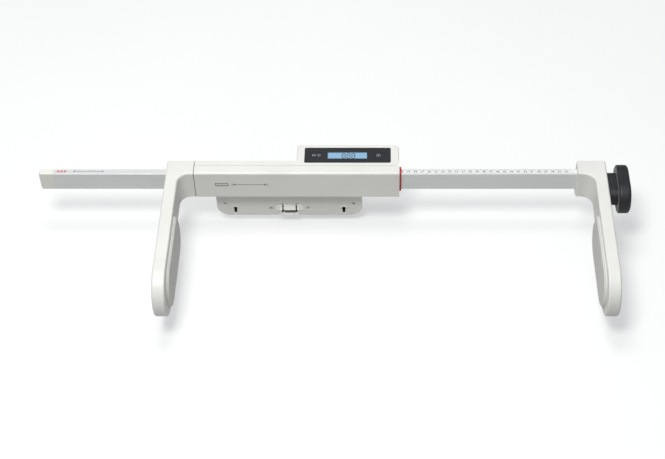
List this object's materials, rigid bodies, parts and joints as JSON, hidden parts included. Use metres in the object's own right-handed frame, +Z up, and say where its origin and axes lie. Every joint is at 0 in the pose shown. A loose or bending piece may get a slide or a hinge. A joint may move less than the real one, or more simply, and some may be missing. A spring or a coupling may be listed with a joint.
{
  "type": "infant length measuring rod",
  "caption": "Digital length measuring rod for a baby scale: sliding rail, fixed head arm, moving foot arm with pull handle, and a keyhole mount plate with a latch.",
  "frame": {"origin": "midway between the two keyholes, on the front face of the mount plate", "axes": "+X along the rail towards the foot arm, -Y out of the mount plate's front face towards the infant, +Z up"},
  "size_m": [0.8589, 0.2819, 0.1021],
  "materials": {
    "aluminium": "anodised, brushed along the rail",
    "aluminium_block": "as machined",
    "cap_ivory": "fine grained moulding",
    "scale_tape": "printed film with millimetre ticks",
    "magnet_strip": "plain",
    "dark_plastic": "moulded",
    "steel": "zinc plated",
    "coated_steel": "black powder coat on sheet",
    "spring_steel": "bright wire and leaf",
    "white_moulding": "satin, very fine grain",
    "pad_moulding": "satin, very fine grain",
    "plate_moulding": "satin, fine grain",
    "latch_moulding": "satin",
    "soft_grip": "soft-touch satin",
    "glide_plastic": "slippery acetal",
    "felt": "pressed felt",
    "red_ring": "semi-gloss",
    "circuit_board": "solder mask",
    "chip_black": "moulded",
    "ribbon_cable": "flat cable",
    "lcd_module": "blue backlit liquid crystal with seven-segment digits",
    "panel_black": "glossy, faint smudges",
    "window_clear": "clear hard-coated window",
    "cell_sleeve": "printed sleeve, plain"
  },
  "bodies": {
    "housing": {"front_housing": "white_moulding", "rear_cover": "white_moulding", "cover_screws": "steel", "left_glide": "glide_plastic", "right_glide": "glide_plastic", "brake_pad": "felt", "brake_spring": "spring_steel", "index_ring": "red_ring", "head_arm": "white_moulding", "head_pad": "pad_moulding", "arm_screws": "steel", "sensor_board": "circuit_board", "sensor_chips": "chip_black", "main_board": "circuit_board", "board_screws": "steel", "ribbon_cable": "ribbon_cable", "tact_switches": "chip_black", "lcd_module": "lcd_module", "display_panel": "panel_black", "lcd_window": "window_clear", "battery_tray": "dark_plastic", "batteries": "cell_sleeve", "battery_contacts": "spring_steel", "mount_plate": "plate_moulding", "backing_plate": "coated_steel", "keyhole_cups": "dark_plastic", "face_screws": "steel", "plate_screws": "steel", "latch_frame": "latch_moulding", "latch_housing": "dark_plastic", "latch_pin": "steel", "latch_spring": "spring_steel"},
    "rail_unit": {"rail": "aluminium", "rail_end_cap": "cap_ivory", "scale_tape": "scale_tape", "encoder_strip": "magnet_strip", "rail_stop": "dark_plastic", "stop_screw": "steel", "rail_inserts": "aluminium_block", "foot_arm": "white_moulding", "foot_pad": "pad_moulding", "foot_screws": "steel", "handle_core": "dark_plastic", "handle_grip": "soft_grip", "handle_screws": "steel"},
    "latch": {"latch_tongue": "latch_moulding"},
    "start_key": {"start_key": "panel_black"},
    "hold_key": {"hold_key": "panel_black"},
    "battery_door": {"battery_door": "white_moulding"}
  },
  "joints": [
    {"name": "rail_slide", "type": "slide", "parent": "housing", "child": "rail_unit", "axis": [1, 0, 0], "range_m": [-0.246, 0.204]},
    {"name": "hold_key_press", "type": "slide", "parent": "housing", "child": "hold_key", "axis": [0, 0, -1], "range_m": [0, 0.0005], "stiffness_N_per_m": 1000, "springref_m": -0.0003},
    {"name": "start_key_press", "type": "slide", "parent": "housing", "child": "start_key", "axis": [0, 0, -1], "range_m": [0, 0.0005], "stiffness_N_per_m": 1000, "springref_m": -0.0003},
    {"name": "latch_swing", "type": "hinge", "parent": "housing", "child": "latch", "pos_m": [0, 0.0022, 0.005], "axis": [1, 0, 0], "range_deg": [0, 22], "stiffness_Nm_per_rad": 0.05, "springref_deg": -17.19},
    {"name": "battery_door_swing", "type": "hinge", "parent": "housing", "child": "battery_door", "pos_m": [0.0875, 0.0183, 0.0585], "axis": [-1, 0, 0], "range_deg": [0, 90]}
  ]
}
